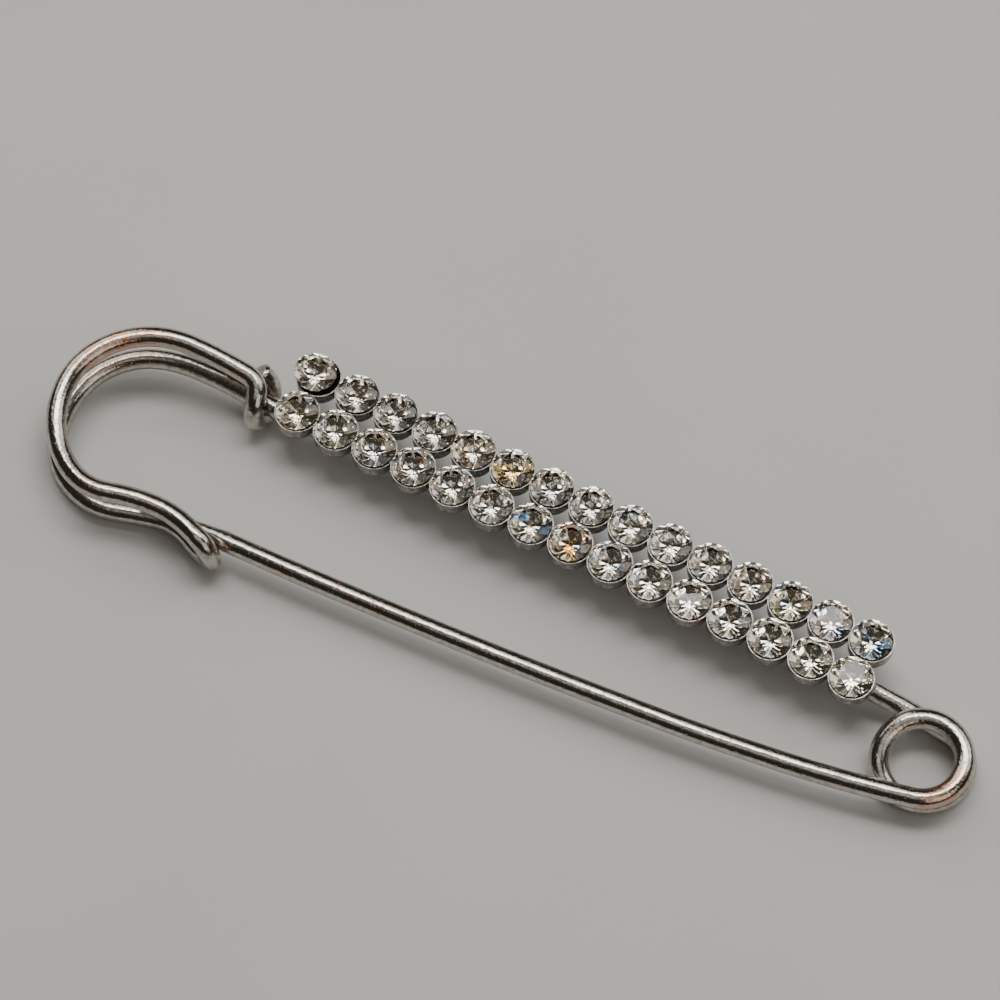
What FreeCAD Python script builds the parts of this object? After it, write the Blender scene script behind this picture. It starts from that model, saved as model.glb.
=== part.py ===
import FreeCAD, Part
import math
import os
import Sketcher

# A safety pin brooch, 76 mm long, lying on its side.
# One wire makes the coil, the straight bar, the looped head with its catch and the wrap around the bar.
# The pin leg swings about the coil. A casting of two rows of cups sits on the bar and holds cut stones.
# +X runs along the bar towards the coil, +Y from the pin leg to the bar, +Z up, the way the stones face.
# The origin is under the middle of the outline, on the surface that the brooch lies on.

Vector = FreeCAD.Vector
UP = Vector(0, 0, 1)

# Driving sizes in millimetres and degrees: cell name, value, meaning.
SIZES = [
    ("wire_diameter", 1.6, "wire of the pin"),
    ("coil_radius", 3.22, "middle of the wire to the middle of the coil"),
    ("coil_centre_x", 34.09, "middle of the upper turn"),
    ("coil_centre_y", 1.76, "middle of the upper turn"),
    ("coil_shift_x", 0.08, "how far the lower turn is off the upper one"),
    ("coil_shift_y", 0.45, "how far the lower turn is off the upper one"),
    ("coil_step", 22.5, "angle between two corners of the coil's outline"),
    ("leg_end_angle", -77.0, "where the pin leg runs into the coil"),
    ("bar_start_angle", 435.0, "where the coil runs out into the bar"),
    ("leg_split", 0.05, "slit between the pin leg and the coil"),
    ("leg_straight", 3.9, "straight root of the pin leg"),
    ("tip_length", 7.5, "tapered point of the pin leg"),
    ("tip_radius", 0.12, "end of the point"),
    ("wrap_radius", 1.68, "middle of the wrap to the middle of the bar"),
    ("bar_y", 4.68, "bar inside the wrap"),
    ("bar_height", 2.48, "bar inside the wrap"),
    ("stone_pitch", 3.38, "one stone to the next along a row"),
    ("row_distance", 3.44, "lower row to upper row"),
    ("lower_row_y", 4.31, "lower row of stones"),
    ("first_stone_x", -20.49, "first stone of each row, at the head's end"),
    ("girdle_height", 4.9, "widest line of a stone above the surface"),
    ("stone_radius", 1.65, "stone at its girdle"),
    ("girdle_half", 0.04, "half the thickness of the girdle"),
    ("table_height", 0.56, "table above the girdle"),
    ("table_radius", 0.98, "corner of the table"),
    ("star_radius", 1.3, "outer corner of a star facet"),
    ("culet_depth", 1.3, "culet below the girdle"),
    ("culet_radius", 0.12, "corner of the culet"),
    ("pavilion_radius", 1.2, "corner between two pavilion mains"),
    ("cup_rim_radius", 1.76, "outside of a cup at its rim"),
    ("cup_wall_radius", 1.74, "outside of a cup above its round foot"),
    ("cup_foot_round", 0.8, "radius of the foot's edge"),
    ("cup_height", 1.8, "foot to rim"),
    ("rim_drop", 0.2, "rim below the stone's girdle"),
    ("seat_top_radius", 1.85, "top of the conical seat"),
    ("seat_top_depth", 0.05, "top of the seat below the girdle"),
    ("seat_end_radius", 0.2, "bottom of the seat"),
    ("seat_end_depth", 1.4, "bottom of the seat below the girdle"),
    ("saddle_gap", 0.05, "room between the bar and its groove in the casting"),
    ("saddle_overrun", 2.0, "how far the groove's tool passes the bar's two corners"),
    ("proud_tilt", 7.0, "tilt of the one stone that stands proud"),
    ("proud_lift", 0.26, "lift of that stone"),
    ("proud_shift", -0.3, "how far along X it is off its cup"),
]

STONES_IN_ROW = 15
FACETS_ROUND = 8

# Height of the wire's middle along the coil: angle, height.
COIL_HEIGHTS = [(-77, 2.6), (30, 2.75), (75, 2.85), (135, 2.8), (240, 0.95), (285, 0.8), (450, 0.8)]
# The lower turn's shift grows between these two angles.
COIL_SHIFT_ANGLES = (180, 290)

# Corners of the wire's route, each rounded by the largest arc that fits: x, y, height.
BAR = [(26.47, 5.26, 2.4), (-23.33, 4.66, 2.48)]
LOWER_STRAND = [
    (-27.53, 4.96, 2.4), (-31.53, 4.81, 2.3), (-34.63, 3.61, 2.15), (-36.83, 1.11, 1.75), (-37.53, -1.89, 1.3),
    (-37.03, -4.79, 1.0), (-35.03, -7.39, 0.85), (-31.53, -8.69, 0.8), (-28.03, -7.54, 0.8),
    (-25.23, -6.79, 0.8),
]
CATCH = [(-20.73, -8.64, 0.8), (-20.73, -8.94, 4.25)]
UPPER_STRAND = [
    (-24.43, -7.54, 4.35), (-27.83, -7.84, 4.7), (-31.53, -9.09, 4.9), (-34.63, -7.59, 5.0), (-36.73, -4.69, 5.3),
    (-37.23, -1.59, 5.7), (-36.43, 1.11, 6.0), (-34.33, 3.51, 6.2), (-31.53, 4.91, 6.0), (-27.83, 5.31, 5.2),
    (-24.53, 5.31, 4.5),
]
# The wrap goes over the bar, down its front, under it and up behind: angle from straight up, x.
WRAP = [(30, -23.93), (75, -23.83), (120, -23.68), (165, -23.63), (210, -23.9), (255, -24.4)]
WRAP_END = (-25.3, 6.42, 3.35)
LEG = [(26.27, -3.14, 2.58), (18.37, -4.24, 2.55), (2.27, -5.74, 2.53), (-14.13, -6.79, 2.53)]
LEG_TAPER_START = (-20.63, -7.04, 2.53)

# How the stones lie in their cups: turn about the stone's axis and a slight lean.
STONE_TURN = 137.5
STONE_LEAN = 1.0
LEAN_TURN = 78.0
# The proud stone is the first of the upper row and leans away from this direction.
PROUD_AXIS = (-0.471, 0.882, 0)


def make_sheet(doc):
    sheet = doc.addObject("Spreadsheet::Sheet", "sizes")
    for row, (alias, value, meaning) in enumerate(SIZES, start=1):
        sheet.set(f"A{row}", alias)
        sheet.set(f"B{row}", str(value))
        sheet.set(f"C{row}", meaning)
        sheet.setAlias(f"B{row}", alias)
    doc.recompute()
    return sheet


def interpolate(table, position):
    for (start, first), (end, last) in zip(table, table[1:]):
        if position <= end:
            share = max(0.0, (position - start) / (end - start))
            return first + (last - first) * share
    return table[-1][1]


def rounded_route(points):
    # Straight runs joined by tangent arcs; each arc takes half of the shorter run beside its corner.
    corners = [Vector(*point) for point in points]
    edges = []
    last = corners[0]
    for before, corner, after in zip(corners, corners[1:], corners[2:]):
        towards_before = (before - corner).normalize()
        towards_after = (after - corner).normalize()
        reach = 0.5 * min((before - corner).Length, (after - corner).Length)
        turn = math.pi - towards_before.getAngle(towards_after)
        start = corner + towards_before * reach
        end = corner + towards_after * reach
        radius = reach / math.tan(turn / 2)
        middle_direction = (towards_before + towards_after).normalize()
        middle = corner + middle_direction * (radius / math.cos(turn / 2) - radius)
        if (start - last).Length > 1e-4:
            edges.append(Part.LineSegment(last, start).toShape())
        else:
            start = last
        edges.append(Part.Arc(start, middle, end).toShape())
        last = end
    edges.append(Part.LineSegment(last, corners[-1]).toShape())
    return Part.Wire(edges)


def coil_centre(sheet, angle):
    first, last = COIL_SHIFT_ANGLES
    share = min(1.0, max(0.0, (angle - first) / (last - first)))
    return (sheet.coil_centre_x + share * sheet.coil_shift_x,
            sheet.coil_centre_y + share * sheet.coil_shift_y)


def coil_corners(sheet):
    # One and a half turns, from the pin leg on top to the bar below.
    reach = sheet.coil_radius / math.cos(math.radians(sheet.coil_step / 2))
    corners = []
    angle = sheet.leg_end_angle + sheet.coil_step / 2
    while angle < sheet.bar_start_angle:
        centre_x, centre_y = coil_centre(sheet, angle)
        corners.append((centre_x + reach * math.cos(math.radians(angle)),
                        centre_y + reach * math.sin(math.radians(angle)),
                        interpolate(COIL_HEIGHTS, angle)))
        angle += sheet.coil_step
    return corners


def leg_end(sheet):
    # Where the leg meets the coil, and the direction in which it arrives there.
    angle = math.radians(sheet.leg_end_angle)
    point = Vector(sheet.coil_centre_x + sheet.coil_radius * math.cos(angle),
                   sheet.coil_centre_y + sheet.coil_radius * math.sin(angle),
                   COIL_HEIGHTS[0][1])
    return point, Vector(-math.sin(angle), math.cos(angle), 0)


def wrap_corners(sheet):
    step = math.radians(WRAP[1][0] - WRAP[0][0])
    reach = sheet.wrap_radius / math.cos(step / 2)
    return [(x,
             sheet.bar_y - reach * math.sin(math.radians(angle)),
             sheet.bar_height + reach * math.cos(math.radians(angle)))
            for angle, x in WRAP]


def sweep_wire(doc, name, points, sheet):
    # A round wire along a rounded route.
    route = doc.addObject("Part::Feature", name + "_route")
    route.Shape = rounded_route(points)
    section = doc.addObject("Part::Circle", name + "_section")
    section.setExpression("Radius", "sizes.wire_diameter / 2")
    start = Vector(*points[0])
    along = Vector(*points[1]) - start
    section.Placement = FreeCAD.Placement(start, FreeCAD.Rotation(UP, along))
    sweep = doc.addObject("Part::Sweep", name)
    sweep.Sections = [section]
    sweep.Spine = (route, [f"Edge{number}" for number in range(1, len(route.Shape.Edges) + 1)])
    sweep.Solid = True
    sweep.Frenet = False
    sweep.Transition = "Transformed"
    return sweep


def make_frame_wire(doc, sheet):
    point, direction = leg_end(sheet)
    start = point + direction * sheet.leg_split
    route = [tuple(start)] + coil_corners(sheet) + BAR + LOWER_STRAND + CATCH + UPPER_STRAND
    route += wrap_corners(sheet) + [WRAP_END]
    wire = sweep_wire(doc, "frame_wire", route, sheet)
    wire.Label = "frame_wire"
    return wire


def make_pin_leg(doc, sheet):
    point, direction = leg_end(sheet)
    root = point - direction * sheet.leg_straight
    shaft = sweep_wire(doc, "leg_shaft", [tuple(point), tuple(root)] + LEG + [LEG_TAPER_START], sheet)
    tip = doc.addObject("Part::Cone", "leg_tip")
    tip.setExpression("Radius1", "sizes.wire_diameter / 2")
    tip.setExpression("Radius2", "sizes.tip_radius")
    tip.setExpression("Height", "sizes.tip_length")
    arrival = Vector(*LEG_TAPER_START) - Vector(*LEG[-1])
    tip.Placement = FreeCAD.Placement(Vector(*LEG_TAPER_START), FreeCAD.Rotation(UP, arrival))
    leg = doc.addObject("Part::Fuse", "pin_leg")
    leg.Base = shaft
    leg.Tool = tip
    leg.Label = "pin_leg"
    return leg


def cup_axis_point(sheet, row, place):
    # On the axis of a cup, at the height of the stones' girdles.
    return Vector(sheet.first_stone_x + place * sheet.stone_pitch,
                  sheet.lower_row_y + row * sheet.row_distance,
                  sheet.girdle_height)


def stone_placement(sheet, row, place):
    # Middle of the stone's girdle.
    number = row * STONES_IN_ROW + place
    position = cup_axis_point(sheet, row, place)
    lean_axis = FreeCAD.Rotation(UP, LEAN_TURN * number).multVec(Vector(1, 0, 0))
    lean = FreeCAD.Rotation(lean_axis, STONE_LEAN)
    if row == 1 and place == 0:
        lean = FreeCAD.Rotation(Vector(*PROUD_AXIS), sheet.proud_tilt)
        position += Vector(sheet.proud_shift, 0, sheet.proud_lift)
    return FreeCAD.Placement(position, lean * FreeCAD.Rotation(UP, STONE_TURN * number))


def ring(count, radius, height, turn):
    return [Vector(radius * math.cos(2 * math.pi * (k + turn) / count),
                   radius * math.sin(2 * math.pi * (k + turn) / count),
                   height) for k in range(count)]


def height_on_facet(inner, outer, radius):
    # Height of a side corner that keeps a four-sided facet flat: inner and outer are (radius, height).
    reach = radius * math.cos(math.pi / FACETS_ROUND)
    return inner[1] + (outer[1] - inner[1]) * (reach - inner[0]) / (outer[0] - inner[0])


def stone_shape(sheet):
    # Table, star facets, crown mains, upper girdle facets, girdle, lower girdle facets, mains and culet.
    count = FACETS_ROUND
    top = (sheet.table_radius, sheet.table_height)
    girdle_top = (sheet.stone_radius, sheet.girdle_half)
    girdle_bottom = (sheet.stone_radius, -sheet.girdle_half)
    bottom = (sheet.culet_radius, -sheet.culet_depth)
    table = ring(count, top[0], top[1], 0)
    stars = ring(count, sheet.star_radius, height_on_facet(top, girdle_top, sheet.star_radius), 0.5)
    upper = ring(2 * count, girdle_top[0], girdle_top[1], 0)
    lower = ring(2 * count, girdle_bottom[0], girdle_bottom[1], 0)
    mains = ring(count, sheet.pavilion_radius,
                 height_on_facet(bottom, girdle_bottom, sheet.pavilion_radius), 0.5)
    culet = ring(count, bottom[0], bottom[1], 0)
    facets = [table, culet]
    for k in range(count):
        after = (k + 1) % count
        even, odd, next_even = 2 * k, 2 * k + 1, (2 * k + 2) % (2 * count)
        facets.append([table[k], table[after], stars[k]])
        facets.append([table[k], stars[k], upper[even], stars[k - 1]])
        facets.append([stars[k], upper[even], upper[odd]])
        facets.append([stars[k], upper[odd], upper[next_even]])
        facets.append([upper[even], upper[odd], lower[odd], lower[even]])
        facets.append([upper[odd], upper[next_even], lower[next_even], lower[odd]])
        facets.append([mains[k], lower[even], lower[odd]])
        facets.append([mains[k], lower[odd], lower[next_even]])
        facets.append([culet[k], mains[k], lower[even], mains[k - 1]])
        facets.append([culet[k], culet[after], mains[k]])
    faces = [Part.Face(Part.makePolygon(corners + [corners[0]])) for corners in facets]
    solid = Part.Solid(Part.Shell(faces))
    if solid.Volume < 0:
        solid.reverse()
    return solid


def make_stones(doc, sheet):
    shape = stone_shape(sheet)
    stones = []
    for row, row_name in enumerate(("lower", "upper")):
        for place in range(STONES_IN_ROW):
            stone = doc.addObject("Part::Feature", f"stone_{row_name}_{place + 1:02d}")
            stone.Shape = shape.copy()
            stone.Placement = stone_placement(sheet, row, place)
            stone.Label = stone.Name
            stones.append(stone)
    return stones


def origin_plane(body, role):
    return next(feature for feature in body.Origin.OriginFeatures if feature.Role == role)


def add_profile(sketch, sheet):
    # Half section of a solid cup: flat foot, round edge, leaning wall and flat top at the rim.
    wall, rim = sheet.cup_wall_radius, sheet.cup_rim_radius
    top = sheet.girdle_height - sheet.rim_drop
    foot = top - sheet.cup_height
    foot_radius, round_top = wall - sheet.cup_foot_round, foot + sheet.cup_foot_round
    arc_centre = Vector(foot_radius, round_top, 0)
    points = [Vector(0, foot, 0), Vector(foot_radius, foot, 0), Vector(wall, round_top, 0),
              Vector(rim, top, 0), Vector(0, top, 0)]
    circle = Part.Circle(arc_centre, UP, wall - foot_radius)
    sketch.addGeometry([
        Part.LineSegment(points[0], points[1]),
        Part.ArcOfCircle(circle, -math.pi / 2, 0),
        Part.LineSegment(points[2], points[3]),
        Part.LineSegment(points[3], points[4]),
        Part.LineSegment(points[4], points[0]),
    ], False)
    foot_line, foot_arc, wall_line, top_line, axis_line = range(5)
    start, end, centre = 1, 2, 3
    origin, vertical_axis = -1, -2
    sketch.addConstraint([
        Sketcher.Constraint("Coincident", foot_line, end, foot_arc, start),
        Sketcher.Constraint("Coincident", foot_arc, end, wall_line, start),
        Sketcher.Constraint("Coincident", wall_line, end, top_line, start),
        Sketcher.Constraint("Coincident", top_line, end, axis_line, start),
        Sketcher.Constraint("Coincident", axis_line, end, foot_line, start),
        Sketcher.Constraint("PointOnObject", foot_line, start, vertical_axis),
        Sketcher.Constraint("PointOnObject", top_line, end, vertical_axis),
        Sketcher.Constraint("Horizontal", foot_line),
        Sketcher.Constraint("Horizontal", top_line),
        Sketcher.Constraint("Vertical", foot_arc, start, foot_arc, centre),
        Sketcher.Constraint("Horizontal", foot_arc, end, foot_arc, centre),
    ])
    sizes = [
        ("DistanceX", origin, start, foot_arc, end, "wall_radius", "sizes.cup_wall_radius"),
        ("DistanceX", origin, start, wall_line, end, "rim_radius", "sizes.cup_rim_radius"),
        ("DistanceY", origin, start, foot_line, end, "foot_height",
         "sizes.girdle_height - sizes.rim_drop - sizes.cup_height"),
        ("DistanceY", origin, start, wall_line, end, "rim_height", "sizes.girdle_height - sizes.rim_drop"),
        ("DistanceY", foot_arc, start, foot_arc, centre, "foot_round", "sizes.cup_foot_round"),
    ]
    values = (wall, rim, foot, top, round_top - foot)
    for (kind, *places, name, expression), value in zip(sizes, values):
        index = sketch.addConstraint(Sketcher.Constraint(kind, *places, value))
        sketch.renameConstraint(index, name)
        sketch.setExpression("Constraints." + name, expression)


def make_cup_blanks(doc, sheet):
    # Thirty solid cups, cast together where their walls meet.
    body = doc.addObject("PartDesign::Body", "cup_blanks")
    body.setExpression("Placement.Base.x", "sizes.first_stone_x")
    body.setExpression("Placement.Base.y", "sizes.lower_row_y")
    sketch = body.newObject("Sketcher::SketchObject", "cup_profile")
    sketch.AttachmentSupport = [(origin_plane(body, "XZ_Plane"), "")]
    sketch.MapMode = "FlatFace"
    add_profile(sketch, sheet)
    doc.recompute()
    cup = body.newObject("PartDesign::Revolution", "cup")
    cup.Profile = sketch
    cup.ReferenceAxis = (sketch, ["V_Axis"])
    cup.Angle = 360
    doc.recompute()
    along = body.newObject("PartDesign::LinearPattern", "along_row")
    along.Direction = (origin_plane(body, "X_Axis"), [""])
    along.setExpression("Length", f"sizes.stone_pitch * {STONES_IN_ROW - 1}")
    along.Occurrences = STONES_IN_ROW
    across = body.newObject("PartDesign::LinearPattern", "across_rows")
    across.Direction = (origin_plane(body, "Y_Axis"), [""])
    across.setExpression("Length", "sizes.row_distance")
    across.Occurrences = 2
    grid = body.newObject("PartDesign::MultiTransform", "cup_grid")
    grid.Originals = [cup]
    grid.Transformations = [along, across]
    body.Tip = grid
    return body


def make_seats(doc, sheet):
    # The conical seat that is cut into each cup, with room for its stone.
    seats = []
    for row in range(2):
        for place in range(STONES_IN_ROW):
            seat = doc.addObject("Part::Cone", f"seat_{row}_{place}")
            seat.setExpression("Radius1", "sizes.seat_end_radius")
            seat.setExpression("Radius2", "sizes.seat_top_radius")
            seat.setExpression("Height", "sizes.seat_end_depth - sizes.seat_top_depth")
            end = cup_axis_point(sheet, row, place) - UP * sheet.seat_end_depth
            seat.Placement = FreeCAD.Placement(end, FreeCAD.Rotation())
            seats.append(seat)
    return seats


def make_saddle(doc, sheet):
    # The groove in the foot of the casting that the bar lies in.
    start, end = Vector(*BAR[0]), Vector(*BAR[1])
    saddle = doc.addObject("Part::Cylinder", "saddle")
    saddle.setExpression("Radius", "sizes.wire_diameter / 2 + sizes.saddle_gap")
    overrun = (start - end).normalize() * sheet.saddle_overrun
    saddle.Height = (start - end).Length + 2 * overrun.Length
    saddle.Placement = FreeCAD.Placement(end - overrun, FreeCAD.Rotation(UP, start - end))
    return saddle


def make_cup_setting(doc, sheet):
    tools = doc.addObject("Part::MultiFuse", "seats_and_saddle")
    tools.Shapes = make_seats(doc, sheet) + [make_saddle(doc, sheet)]
    setting = doc.addObject("Part::Cut", "cup_setting")
    setting.Base = make_cup_blanks(doc, sheet)
    setting.Tool = tools
    setting.Label = "cup_setting"
    return setting


def check_document(doc, parts):
    for item in doc.Objects:
        if {"Invalid", "Error"} & set(item.State):
            raise RuntimeError(f"{item.Name} failed: {item.State}")
    for part in parts:
        if part.Shape.isNull() or not part.Shape.isValid() or len(part.Shape.Solids) != 1:
            raise RuntimeError(f"{part.Label} has no single valid solid")


def main():
    doc = FreeCAD.newDocument("safety_pin_brooch")
    sheet = make_sheet(doc)
    parts = [make_frame_wire(doc, sheet), make_pin_leg(doc, sheet), make_cup_setting(doc, sheet)]
    parts += make_stones(doc, sheet)
    doc.recompute()
    check_document(doc, parts)
    os.makedirs("parts", exist_ok=True)
    outline = FreeCAD.BoundBox()
    for part in parts:
        part.Shape.exportStep(f"parts/{part.Label}.step")
        outline.add(part.Shape.BoundBox)
    print("pieces", len(parts), "outline", outline)


main()
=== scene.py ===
import math

import bmesh
import bpy
import numpy as np
from mathutils import Matrix, Vector


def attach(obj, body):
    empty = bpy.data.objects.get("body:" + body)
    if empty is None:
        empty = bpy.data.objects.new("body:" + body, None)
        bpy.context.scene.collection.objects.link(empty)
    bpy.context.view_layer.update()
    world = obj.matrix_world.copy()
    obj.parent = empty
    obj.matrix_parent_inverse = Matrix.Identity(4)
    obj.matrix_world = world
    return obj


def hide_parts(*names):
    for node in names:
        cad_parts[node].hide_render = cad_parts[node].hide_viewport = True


# A safety pin brooch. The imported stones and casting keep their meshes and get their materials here;
# the wire is built again as smooth round tubes. Tables are in millimetres, in the part's frame.

MM = 0.001
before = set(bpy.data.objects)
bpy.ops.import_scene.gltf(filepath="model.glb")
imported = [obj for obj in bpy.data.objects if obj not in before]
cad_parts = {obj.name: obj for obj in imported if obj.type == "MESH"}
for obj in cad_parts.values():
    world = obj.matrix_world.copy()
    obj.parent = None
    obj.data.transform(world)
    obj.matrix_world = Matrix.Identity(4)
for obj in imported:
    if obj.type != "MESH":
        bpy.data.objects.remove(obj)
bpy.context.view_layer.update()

# ---------------------------------------------------------------- wire

WIRE_RADIUS = 0.8
WIRE_SIDES = 32
WIRE_STEP = 0.16
# Sigma of the route's smoothing, and how many sigmas it reaches.
ROUTE_SMOOTHING = 0.35
SMOOTHING_REACH = 4
# A smaller turn counts as straight, and points nearer than this as one.
STRAIGHT_TURN = 1e-4
SAME_POINT = 1e-6
LEAST_ARC_STEPS = 3

# The coil's turns run from the leg's end to the bar's start, in degrees about the coil's centre.
COIL_CENTRE = (34.09, 1.76)
COIL_RADIUS = 3.22
COIL_STEP = 22.5
LEG_END_ANGLE = -77.0
BAR_START_ANGLE = 435.0
# The lower turn's centre moves over by COIL_SHIFT between these two angles.
COIL_SHIFT = (0.08, 0.45)
COIL_SHIFT_ANGLES = (180, 290)
# Angle, height of the wire's middle.
COIL_HEIGHTS = [(-77, 2.6), (30, 2.75), (75, 2.85), (135, 2.8), (240, 0.95), (285, 0.8), (450, 0.8)]

LEG_STRAIGHT = 3.9
LEG = [(26.27, -3.14, 2.58), (18.37, -4.24, 2.55), (2.27, -5.74, 2.53), (-14.13, -6.79, 2.53)]
LEG_TAPER_START = (-20.63, -7.04, 2.53)
TIP_LENGTH = 7.5
TIP_RADIUS = 0.12
TIP_ROUNDING_LIMIT = 0.995
# The leg's end is looked for within this length of the tip.
LEG_SEARCH_LENGTH = 80

# Corners of the route from the coil on. Each is rounded by an arc as wide as its runs allow.
BAR = [(26.47, 5.26, 2.4), (-23.33, 4.66, 2.48)]
LOWER_STRAND = [
    (-27.53, 4.96, 2.4), (-31.53, 4.81, 2.3), (-34.63, 3.61, 2.15), (-36.83, 1.11, 1.75),
    (-37.53, -1.89, 1.3), (-37.03, -4.79, 1.0), (-35.03, -7.39, 0.85), (-31.53, -8.69, 0.8),
    (-28.03, -7.54, 0.8), (-25.23, -6.79, 0.8),
]
CATCH = [(-20.73, -8.64, 0.8), (-20.73, -8.94, 4.25)]
UPPER_STRAND = [
    (-24.43, -7.54, 4.35), (-27.83, -7.84, 4.7), (-31.53, -9.09, 4.9), (-34.63, -7.59, 5.0),
    (-36.73, -4.69, 5.3), (-37.23, -1.59, 5.7), (-36.43, 1.11, 6.0), (-34.33, 3.51, 6.2),
    (-31.53, 4.91, 6.0), (-27.83, 5.31, 5.2), (-24.53, 5.31, 4.5),
]
# The wrap goes around the bar: its centre in y and z, then angle from the top and x of each corner.
WRAP_CENTRE = (4.83, 2.55)
WRAP_RADIUS = 1.68
WRAP = [(30, -23.93), (75, -23.83), (120, -23.68), (165, -23.63), (210, -23.75), (255, -24.1)]
WRAP_END = (-25.15, 6.6, 3.4)

# The leg is a piece of its own; a slightly thinner core of the coil reaches into its end.
CORE_REACH = 0.4
CORE_RADIUS = 0.775
# The wrap's cut end has lost its sharp edge: length that it takes, share of the radius lost.
END_ROUNDING = 0.18
END_NARROWING = 0.3


def coil_corners():
    reach = COIL_RADIUS / math.cos(math.radians(COIL_STEP / 2))
    height_angles, heights = zip(*COIL_HEIGHTS)
    corners = []
    for angle in np.arange(LEG_END_ANGLE + COIL_STEP / 2, BAR_START_ANGLE, COIL_STEP):
        share = float(np.interp(angle, COIL_SHIFT_ANGLES, (0, 1)))
        corners.append((COIL_CENTRE[0] + share * COIL_SHIFT[0] + reach * math.cos(math.radians(angle)),
                        COIL_CENTRE[1] + share * COIL_SHIFT[1] + reach * math.sin(math.radians(angle)),
                        float(np.interp(angle, height_angles, heights))))
    return corners


def wrap_corners():
    step = math.radians(WRAP[1][0] - WRAP[0][0])
    reach = WRAP_RADIUS / math.cos(step / 2)
    centre_y, centre_z = WRAP_CENTRE
    return [(x, centre_y - reach * math.sin(math.radians(angle)),
             centre_z + reach * math.cos(math.radians(angle))) for angle, x in WRAP]


def rounded_route(corners):
    # Straight runs and tangent arcs, as close points.
    corners = [Vector(c) for c in corners]
    points = [corners[0]]
    for before, corner, after in zip(corners, corners[1:], corners[2:]):
        back, ahead = (before - corner).normalized(), (after - corner).normalized()
        reach = 0.5 * min((before - corner).length, (after - corner).length)
        turn = math.pi - back.angle(ahead)
        if turn < STRAIGHT_TURN:
            continue
        radius = reach / math.tan(turn / 2)
        centre = corner + (back + ahead).normalized() * (radius / math.cos(turn / 2))
        start = corner + back * reach
        axis = (start - centre).cross(corner + ahead * reach - centre).normalized()
        count = max(LEAST_ARC_STEPS, int(radius * turn / WIRE_STEP) + 1)
        for k in range(count + 1):
            points.append(centre + Matrix.Rotation(turn * k / count, 3, axis) @ (start - centre))
    points.append(corners[-1])
    return np.array([tuple(p) for p in points])


def even_spacing(points, step):
    # Points at even steps along the route, and each point's length from the start.
    lengths = np.concatenate([[0], np.cumsum(np.linalg.norm(np.diff(points, axis=0), axis=1))])
    keep = np.concatenate([[True], np.diff(lengths) > SAME_POINT])
    points, lengths = points[keep], lengths[keep]
    marks = np.linspace(0, lengths[-1], int(lengths[-1] / step) + 1)
    return np.stack([np.interp(marks, lengths, points[:, i]) for i in range(3)], axis=1), marks


def smoothed(points, step, sigma):
    # Evens out the change of curvature between runs and arcs; the ends are continued straight.
    reach = int(SMOOTHING_REACH * sigma / step)
    weights = np.exp(-0.5 * (np.arange(-reach, reach + 1) * step / sigma) ** 2)
    weights /= weights.sum()
    head = points[0] - (points[1] - points[0]) * np.arange(reach, 0, -1)[:, None]
    tail = points[-1] + (points[-1] - points[-2]) * np.arange(1, reach + 1)[:, None]
    padded = np.concatenate([head, points, tail])
    return np.stack([np.convolve(padded[:, i], weights, "valid") for i in range(3)], axis=1)


def tube(points, radii):
    # Rings and quads of a round tube; each ring is turned as little as possible from the last.
    # The flat ends have corners of their own, so that smooth shading doesn't run over their edge.
    points, radii = np.asarray(points), np.asarray(radii)
    tangents = np.gradient(points, axis=0)
    tangents /= np.linalg.norm(tangents, axis=1)[:, None]
    side = np.cross(tangents[0], (0, 0, 1))
    angles = 2 * np.pi * np.arange(WIRE_SIDES) / WIRE_SIDES
    verts = []
    for point, tangent, radius in zip(points, tangents, radii):
        side = side - tangent * side.dot(tangent)
        side /= np.linalg.norm(side)
        other = np.cross(tangent, side)
        verts.append(point + radius * (np.cos(angles)[:, None] * side + np.sin(angles)[:, None] * other))
    caps = len(points) * WIRE_SIDES
    faces = [tuple(range(caps + WIRE_SIDES - 1, caps - 1, -1)),
             tuple(range(caps + WIRE_SIDES, caps + 2 * WIRE_SIDES))]
    for k in range(WIRE_SIDES):
        after = (k + 1) % WIRE_SIDES
        for ring in range(len(points) - 1):
            a, b = ring * WIRE_SIDES, (ring + 1) * WIRE_SIDES
            faces.append((a + k, a + after, b + after, b + k))
    return np.concatenate(verts + [verts[0], verts[-1]]), faces


def tube_piece(name, *tubes):
    verts, faces = [], []
    for ring_verts, ring_faces in tubes:
        faces += [tuple(len(verts) + k for k in face) for face in ring_faces]
        verts += [tuple(v) for v in ring_verts * MM]
    mesh = bpy.data.meshes.new(name)
    mesh.from_pydata(verts, [], faces)
    mesh.validate()
    mesh.shade_smooth()
    piece = bpy.data.objects.new(name, mesh)
    bpy.context.collection.objects.link(piece)
    return piece


def tapered_radii(marks):
    # The leg's radius along its length: a cone with a rounded point, then the plain wire.
    radii = TIP_RADIUS + (WIRE_RADIUS - TIP_RADIUS) * np.clip(marks / TIP_LENGTH, 0, 1)
    inside = np.clip(1 - marks / (2 * TIP_RADIUS), 0, TIP_ROUNDING_LIMIT)
    return radii * np.sqrt(1 - inside ** 2)


def rounded_end(distance):
    # Share of the full radius at a distance from a worn cut end.
    inside = np.clip(1 - distance / END_ROUNDING, 0, 1)
    return 1 - END_NARROWING * (1 - np.sqrt(1 - inside ** 2))


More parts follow.
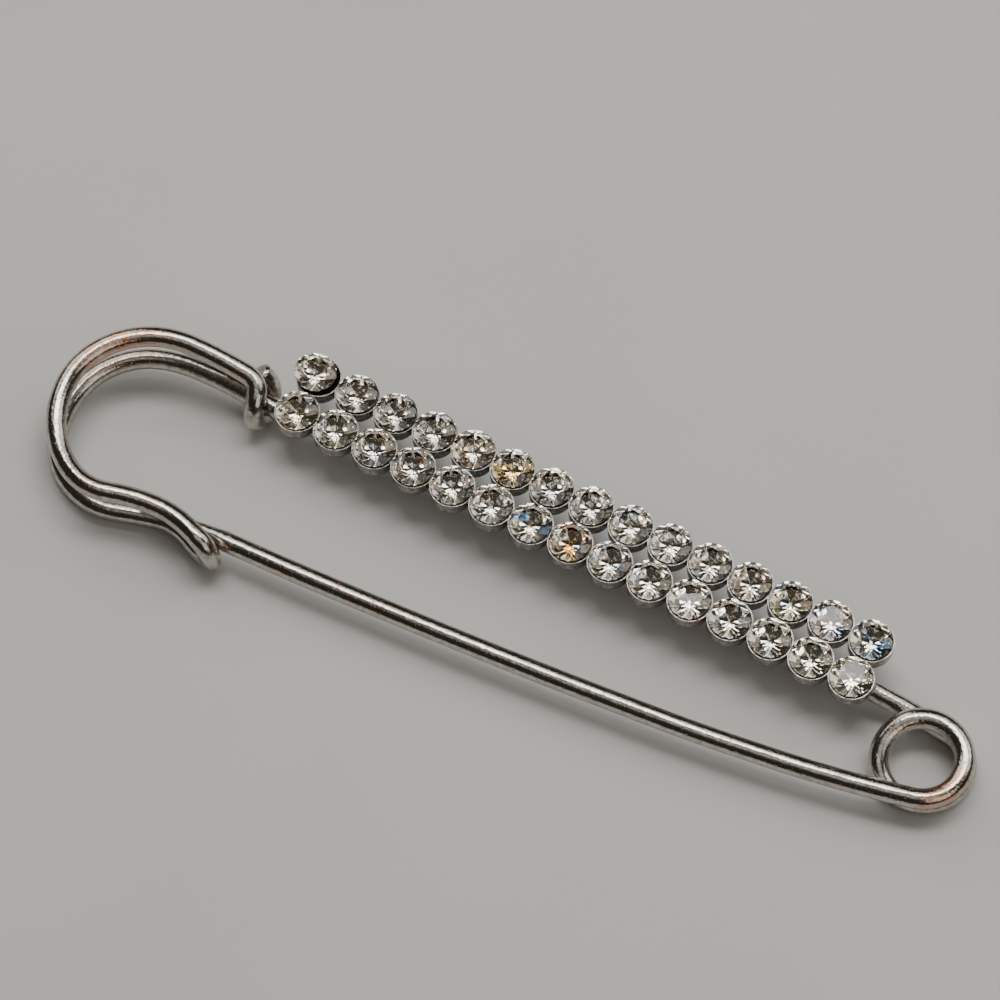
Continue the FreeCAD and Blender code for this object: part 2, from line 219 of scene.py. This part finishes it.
def build_wire():
    # One route from the leg's tip to the wrap's end, cut where the leg runs into the coil.
    angle = math.radians(LEG_END_ANGLE)
    joint = np.array([COIL_CENTRE[0] + COIL_RADIUS * math.cos(angle),
                      COIL_CENTRE[1] + COIL_RADIUS * math.sin(angle), COIL_HEIGHTS[0][1]])
    direction = np.array([-math.sin(angle), math.cos(angle), 0])
    arrival = np.array(LEG_TAPER_START) - np.array(LEG[-1])
    tip = np.array(LEG_TAPER_START) + arrival / np.linalg.norm(arrival) * TIP_LENGTH
    corners = [tuple(tip), LEG_TAPER_START] + LEG[::-1] + [tuple(joint - direction * LEG_STRAIGHT)]
    corners += coil_corners() + BAR + LOWER_STRAND + CATCH + UPPER_STRAND + wrap_corners() + [WRAP_END]
    route, marks = even_spacing(rounded_route(corners), WIRE_STEP)
    route = smoothed(route, WIRE_STEP, ROUTE_SMOOTHING)
    near_leg = route[:int(LEG_SEARCH_LENGTH / WIRE_STEP)]
    cut = int(np.argmin(np.linalg.norm(near_leg - joint, axis=1)))
    leg = tube_piece("leg_wire", tube(route[:cut + 1], tapered_radii(marks[:cut + 1])))
    core = np.array([route[cut] - direction * CORE_REACH, route[cut],
                     route[cut] + direction * CORE_REACH / 2])
    pin = tube_piece("pin_wire", tube(core, np.full(len(core), CORE_RADIUS)),
                     tube(route[cut:], WIRE_RADIUS * rounded_end(marks[-1] - marks[cut:])))
    return pin, leg


# ---------------------------------------------------------------- pale lump, a painted highlight

# A small pale, dull lump where the bar meets the end cup, put there for a small pale highlight at that
# cup's edge: its pale colour is a painted highlight.
HIGHLIGHT_LUMP_CENTRE = (28.25, 5.0, 3.05)
HIGHLIGHT_LUMP_HALVES = (0.42, 0.5, 0.36)
# Waves on its skin: height as a share of the lump, how fast each runs along x, y and z, start.
HIGHLIGHT_LUMP_WAVES = [(0.10, 3.1, 0.0, 0.0, 1.0), (0.08, 0.0, 4.3, 2.0, 0.0), (0.05, -1.0, 0.0, 7.0, 0.0)]


def blob(name, centre, halves, waves):
    # A small rounded lump with a slightly uneven skin.
    mesh = bpy.data.meshes.new(name)
    shape = bmesh.new()
    bmesh.ops.create_icosphere(shape, subdivisions=4, radius=1.0)
    for vertex in shape.verts:
        x, y, z = vertex.co
        swell = 1 + sum(height * math.sin(along_x * x + along_y * y + along_z * z + start)
                        for height, along_x, along_y, along_z, start in waves)
        vertex.co = Vector([(c + h * v * swell) * MM for c, h, v in zip(centre, halves, (x, y, z))])
    shape.to_mesh(mesh)
    shape.free()
    mesh.shade_smooth()
    piece = bpy.data.objects.new(name, mesh)
    bpy.context.collection.objects.link(piece)
    return piece


# ---------------------------------------------------------------- materials

# Looks of the metals: base colour, least roughness, dents per mm, their height and the pits' depth
# in mm, and the share of the colour left where the plating is dull.
WIRE_LOOK = {"colour": (0.60, 0.575, 0.52), "roughness": 0.09, "dent_scale": 4.4,
             "dent_height": 0.022, "pit_depth": 0.010, "dulled": 0.7}
# The casting's base colour is kept darker than the wire's as painted shade, for the shaded floor in front
# of the rows that its cup walls reflect.
CASTING_LOOK = {"colour": (0.36, 0.345, 0.32), "roughness": 0.24, "dent_scale": 2.4,
                "dent_height": 0.012, "pit_depth": 0.015, "dulled": 0.45}
# The lump's paler, duller colour paints the small highlight at the end cup's edge.
HIGHLIGHT_LUMP_LOOK = {"colour": (0.66, 0.64, 0.60), "roughness": 0.42, "dent_scale": 3.0,
               "dent_height": 0.02, "pit_depth": 0.01, "dulled": 0.8}
COPPER = (0.60, 0.36, 0.26)
BROAD_DENT_SCALE = 0.9
# Added roughness where a metal is fully dull.
DULL_ROUGHER = 0.08
# Pits: cells per mm, radius of full depth and radius of none in cells, colour, its share, added roughness.
PIT_SCALE = 3.1
PIT_RADII = (0.05, 0.30)
PIT_COLOUR = (0.16, 0.13, 0.11)
PIT_COLOUR_SHARE = 0.7
PIT_ROUGHER = 0.3
# Where the plating has worn: centre, radius of full wear, radius where it ends.
WORN_SPOTS = [((36.9, -0.3, 3.2), 0.8, 3.2), ((-35.5, 2.2, 6.6), 1.0, 6.0)]

# Patches of noise: scale per mm, detail, roughness, noise where they begin and where they are full,
# then the least and the most that they give.
PATCHES = {
    "pitted": (1.7, 2.0, 0.5, 0.42, 0.55, 0.0, 1.0),
    "ragged": (1.3, 3.0, 0.6, 0.36, 0.52, 0.0, 1.0),
    "hazy": (0.45, 3.0, 0.6, 0.56, 0.70, 0.0, 0.5),
    "dull": (2.2, 4.0, 0.65, 0.40, 0.62, 0.0, 1.0),
    "specks": (3.5, 2.0, 0.5, 0.3, 0.7, 0.94, 1.0),
    "cloudy": (0.03, 3.0, 0.5, 0.3, 0.7, 0.0, 1.0),
}

FOIL = (1.0, 0.97, 0.91)
FOIL_ROUGHNESS = 0.07
GLASS = (1.0, 0.985, 0.95)
GLASS_IOR = 1.57
# Faces whose outward normal has a lower z than this are under the girdle.
UNDER_GIRDLE = -0.2
BLUE, GOLD, ORANGE = (0.30, 0.58, 1.0), (1.0, 0.78, 0.35), (1.0, 0.60, 0.45)
# Painted flashes of coloured light in the foil: cells per mm, and where each colour begins among the
# cells' chance values of 0 to 1.
FIRE_SCALE = 1.5
FIRE = [(0.0, FOIL), (0.58, BLUE), (0.68, FOIL), (0.76, GOLD), (0.84, FOIL), (0.92, ORANGE)]
# Stones whose foil shows strong painted coloured flashes; the others are nearly white.
STRONG_FIRE = {"stone_lower_04": 0.6, "stone_lower_07": 0.9, "stone_lower_08": 1.0,
               "stone_lower_09": 0.8, "stone_upper_05": 0.5, "stone_upper_06": 0.9,
               "stone_upper_12": 0.5, "stone_upper_13": 0.5, "stone_upper_14": 0.6,
               "stone_upper_15": 0.8}
WEAK_FIRE = 0.25
# Each stone's cells differ by its number; those of the upper row count on from this one.
SEED_STEP = 0.37
UPPER_ROW_NUMBER = 20

PAPER_DARK = (0.60, 0.592, 0.572)
PAPER_LIGHT = (0.63, 0.622, 0.602)
PAPER_ROUGHNESS = 0.7
PAPER_SHEEN = 0.25
# Height of the paper's grain in mm, and the bump's strength.
GRAIN_HEIGHT = 0.02
GRAIN_STRENGTH = 0.15


def new_material(name):
    material = bpy.data.materials.new(name)
    material.use_nodes = True
    tree = material.node_tree
    tree.nodes.clear()
    return material, tree


def add(tree, kind, inputs=None, **settings):
    # A node; an input that is a socket is linked, any other is a value.
    node = tree.nodes.new(kind)
    for key, value in settings.items():
        setattr(node, key, value)
    for key, value in (inputs or {}).items():
        if isinstance(value, bpy.types.NodeSocket):
            tree.links.new(value, node.inputs[key])
        else:
            node.inputs[key].default_value = value
    return node


def math_node(tree, operation, a, b):
    return add(tree, "ShaderNodeMath", {0: a, 1: b}, operation=operation).outputs[0]


def remap(tree, value, low, high, to_low=0.0, to_high=1.0):
    inputs = {0: value, 1: low, 2: high, 3: to_low, 4: to_high}
    return add(tree, "ShaderNodeMapRange", inputs).outputs[0]


def mix_colour(tree, factor, a, b):
    node = add(tree, "ShaderNodeMix", {0: factor}, data_type="RGBA")
    for socket, value in ((node.inputs[6], a), (node.inputs[7], b)):
        if isinstance(value, bpy.types.NodeSocket):
            tree.links.new(value, socket)
        else:
            socket.default_value = (*value, 1.0)
    return node.outputs[2]


def millimetres(tree):
    place = add(tree, "ShaderNodeTexCoord").outputs["Object"]
    scaled = add(tree, "ShaderNodeVectorMath", {0: place, "Scale": 1 / MM}, operation="SCALE")
    return scaled.outputs[0]


def noise(tree, place, scale, detail, roughness=0.5):
    inputs = {"Vector": place, "Scale": scale, "Detail": detail, "Roughness": roughness}
    return add(tree, "ShaderNodeTexNoise", inputs).outputs["Fac"]


def patches(tree, place, kind):
    scale, detail, roughness, begins, full, least, most = PATCHES[kind]
    return remap(tree, noise(tree, place, scale, detail, roughness), begins, full, least, most)


def near(tree, place, centre, full, none):
    # 1 within full millimetres of a point, falling to 0 at none.
    inputs = {0: place, 1: centre}
    distance = add(tree, "ShaderNodeVectorMath", inputs, operation="DISTANCE").outputs["Value"]
    return remap(tree, distance, full, none, 1.0, 0.0)


def plated_metal(name, colour, roughness, dent_scale, dent_height, pit_depth, dulled):
    # Bright plating over a slightly pitted ground, dulled in patches, coppery where it has worn.
    material, tree = new_material(name)
    place = millimetres(tree)
    fine = noise(tree, place, scale=dent_scale, detail=4.0, roughness=0.55)
    broad = noise(tree, place, scale=BROAD_DENT_SCALE, detail=2.0)
    cells = add(tree, "ShaderNodeTexVoronoi", {"Vector": place, "Scale": PIT_SCALE, "Randomness": 1.0})
    pit = remap(tree, cells.outputs["Distance"], *PIT_RADII, 1.0, 0.0)
    pit = math_node(tree, "MULTIPLY", pit, patches(tree, place, "pitted"))
    height = math_node(tree, "MULTIPLY", fine, dent_height)
    height = math_node(tree, "SUBTRACT", height, math_node(tree, "MULTIPLY", pit, pit_depth))
    height = math_node(tree, "ADD", height, math_node(tree, "MULTIPLY", broad, dent_height))
    bump = add(tree, "ShaderNodeBump", {"Strength": 1.0, "Distance": MM, "Height": height}).outputs[0]

    worn = math_node(tree, "MAXIMUM", *(near(tree, place, *spot) for spot in WORN_SPOTS))
    worn = math_node(tree, "MULTIPLY", worn, patches(tree, place, "ragged"))
    worn = math_node(tree, "MAXIMUM", worn, patches(tree, place, "hazy"))
    dull = patches(tree, place, "dull")
    base = mix_colour(tree, dull, colour, tuple(c * dulled for c in colour))
    base = mix_colour(tree, worn, base, COPPER)
    base = mix_colour(tree, math_node(tree, "MULTIPLY", pit, PIT_COLOUR_SHARE), base, PIT_COLOUR)
    rough = math_node(tree, "ADD", remap(tree, dull, 0.0, 1.0, roughness, roughness + DULL_ROUGHER),
                      math_node(tree, "MULTIPLY", pit, PIT_ROUGHER))
    shader = add(tree, "ShaderNodeBsdfPrincipled",
                 {"Base Color": base, "Metallic": 1.0, "Roughness": rough, "Normal": bump})
    add(tree, "ShaderNodeOutputMaterial", {"Surface": shader.outputs[0]})
    return material


def cut_glass(name, seed, fire_share):
    # Clear glass over a silvered back: the crown refracts, the faces below the girdle are a mirror.
    material, tree = new_material(name)
    geometry = add(tree, "ShaderNodeNewGeometry")
    normal_z = add(tree, "ShaderNodeSeparateXYZ", {0: geometry.outputs["True Normal"]}).outputs["Z"]
    backfacing = math_node(tree, "MULTIPLY", geometry.outputs["Backfacing"], 2.0)
    outward_z = math_node(tree, "MULTIPLY", normal_z, math_node(tree, "SUBTRACT", 1.0, backfacing))
    below = math_node(tree, "LESS_THAN", outward_z, UNDER_GIRDLE)

    place = millimetres(tree)
    # Coloured cells in the silver paint the glass's flashes of dispersed light.
    cells = add(tree, "ShaderNodeTexVoronoi", {"Vector": place, "Scale": FIRE_SCALE, "W": seed},
                voronoi_dimensions="4D", feature="F1")
    chance = add(tree, "ShaderNodeSeparateColor", {0: cells.outputs["Color"]})
    painted_flashes = add(tree, "ShaderNodeValToRGB", {0: chance.outputs[0]})
    ramp = painted_flashes.color_ramp
    ramp.interpolation = "CONSTANT"
    for index, (begins, colour) in enumerate(FIRE):
        stop = ramp.elements[index] if index < 2 else ramp.elements.new(begins)
        stop.position = begins
        stop.color = (*colour, 1.0)
    tint = mix_colour(tree, fire_share, FOIL, painted_flashes.outputs[0])
    specks = patches(tree, place, "specks")
    silver = add(tree, "ShaderNodeVectorMath", {0: tint, 1: specks}, operation="MULTIPLY").outputs[0]
    foil = add(tree, "ShaderNodeBsdfPrincipled",
               {"Base Color": silver, "Metallic": 1.0, "Roughness": FOIL_ROUGHNESS})
    glass = add(tree, "ShaderNodeBsdfPrincipled",
                {"Base Color": (*GLASS, 1.0), "Roughness": 0.0, "IOR": GLASS_IOR,
                 "Transmission Weight": 1.0})
    both = add(tree, "ShaderNodeMixShader", {0: below, 1: glass.outputs[0], 2: foil.outputs[0]})
    add(tree, "ShaderNodeOutputMaterial", {"Surface": both.outputs[0]})
    return material


def paper(name):
    # Matt paper with a fine grain and a faint unevenness of tone.
    material, tree = new_material(name)
    place = millimetres(tree)
    grain = noise(tree, place, scale=1.1, detail=4.0, roughness=0.6)
    tone = mix_colour(tree, patches(tree, place, "cloudy"), PAPER_DARK, PAPER_LIGHT)
    bump = add(tree, "ShaderNodeBump",
               {"Strength": GRAIN_STRENGTH, "Distance": GRAIN_HEIGHT * MM, "Height": grain}).outputs[0]
    shader = add(tree, "ShaderNodeBsdfPrincipled",
                 {"Base Color": tone, "Roughness": PAPER_ROUGHNESS, "Normal": bump,
                  "Specular IOR Level": PAPER_SHEEN})
    add(tree, "ShaderNodeOutputMaterial", {"Surface": shader.outputs[0]})
    return material


def paint(piece, material):
    piece.data.materials.clear()
    piece.data.materials.append(material)


# ---------------------------------------------------------------- pieces

pin_wire, leg_wire = build_wire()
wire_metal = plated_metal("wire_plating", **WIRE_LOOK)
casting_metal = plated_metal("casting_plating", **CASTING_LOOK)
for piece, node, body in ((pin_wire, "frame_wire", "frame"), (leg_wire, "pin_leg", "leg")):
    paint(piece, wire_metal)
    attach(piece, body)
    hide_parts(node)

# A pale lump that paints the small highlight at the end cup's edge.
highlight_lump = blob("highlight_lump", HIGHLIGHT_LUMP_CENTRE, HIGHLIGHT_LUMP_HALVES, HIGHLIGHT_LUMP_WAVES)
paint(highlight_lump, plated_metal("highlight_lump_metal", **HIGHLIGHT_LUMP_LOOK))
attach(highlight_lump, "frame")

for name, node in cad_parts.items():
    if name == "cup_setting":
        node.material_slots[0].material = casting_metal
    elif name.startswith("stone"):
        number = int(name[-2:]) + (UPPER_ROW_NUMBER if "upper" in name else 0)
        share = STRONG_FIRE.get(name, WEAK_FIRE)
        node.material_slots[0].material = cut_glass(name + "_glass", number * SEED_STEP, share)

# ---------------------------------------------------------------- floor, lights, camera

# The camera looks at TARGET from this side and height, at the photograph's angle.
TARGET = Vector((-3.167, 4.900, 4.9)) * MM
AZIMUTH = 28.1
ELEVATION = math.radians(64.06)
DISTANCE = 338.39 * MM
LENS = 160.45
SENSOR_WIDTH = 36.0
CLIP_START = 0.01
RIGHT = Vector((math.cos(math.radians(AZIMUTH)), math.sin(math.radians(AZIMUTH)), 0))
AWAY = Vector((-RIGHT.y, RIGHT.x, 0))

FLOOR_HALF = 1.6
ROOM_COLOUR = (0.038, 0.033, 0.026, 1.0)
SIDE_WHITE = (1.0, 0.985, 0.96)
TOP_WHITE = (1.0, 0.98, 0.95)
# Name, direction (right, away and up as the camera sees it), distance, width and depth in metres,
# power in watts, colour.
LIGHTS = [
    ("softbox", (0.06, 0.26, 1.0), 0.60, 0.42, 0.17, 1.78, SIDE_WHITE),
    ("softbox_far", (0.06, 0.72, 1.0), 0.60, 0.42, 0.06, 0.22, SIDE_WHITE),
    ("fill_right", (0.9, 0.45, 0.9), 0.70, 0.45, 0.45, 1.0, SIDE_WHITE),
    ("fill_near", (0.7, -0.9, 0.9), 0.70, 0.45, 0.45, 0.7, SIDE_WHITE),
    ("fill_left", (-0.6, 0.9, 0.9), 0.70, 0.45, 0.45, 1.0, SIDE_WHITE),
    ("ceiling", (0.0, -0.28, 1.0), 0.62, 0.50, 0.40, 0.16, TOP_WHITE),
    ("strip", (0.0, -0.27, 1.0), 0.60, 0.34, 0.05, 0.06, TOP_WHITE),
]


def soft_light(name, seen_from, distance, width, depth, power, colour):
    # A rectangular lamp that faces the brooch, its width level with the picture.
    right, away, up = seen_from
    direction = (RIGHT * right + AWAY * away + Vector((0, 0, up))).normalized()
    data = bpy.data.lights.new(name, "AREA")
    data.shape = "RECTANGLE"
    data.size, data.size_y = width, depth
    data.energy = power
    data.color = colour
    lamp = bpy.data.objects.new(name, data)
    bpy.context.collection.objects.link(lamp)
    side = (RIGHT - direction * RIGHT.dot(direction)).normalized()
    turned = Matrix((side, direction.cross(side), direction)).transposed().to_4x4()
    lamp.matrix_world = Matrix.Translation(direction * distance) @ turned


floor_mesh = bpy.data.meshes.new("floor")
floor_corners = [(x * FLOOR_HALF, y * FLOOR_HALF, 0) for x, y in ((-1, -1), (1, -1), (1, 1), (-1, 1))]
floor_mesh.from_pydata(floor_corners, [], [(0, 1, 2, 3)])
floor = bpy.data.objects.new("floor", floor_mesh)
bpy.context.collection.objects.link(floor)
paint(floor, paper("floor_paper"))

for light in LIGHTS:
    soft_light(*light)

world = bpy.data.worlds.new("room")
world.use_nodes = True
background = world.node_tree.nodes["Background"]
background.inputs["Color"].default_value = ROOM_COLOUR
background.inputs["Strength"].default_value = 1.0
bpy.context.scene.world = world

camera_data = bpy.data.cameras.new("camera")
camera_data.lens = LENS
camera_data.sensor_width = SENSOR_WIDTH
camera_data.clip_start = CLIP_START
camera = bpy.data.objects.new("camera", camera_data)
bpy.context.collection.objects.link(camera)
back = -AWAY * math.cos(ELEVATION) + Vector((0, 0, math.sin(ELEVATION)))
camera.location = TARGET + back * DISTANCE
camera.rotation_euler = (-back).to_track_quat("-Z", "Y").to_euler()
bpy.context.scene.camera = camera
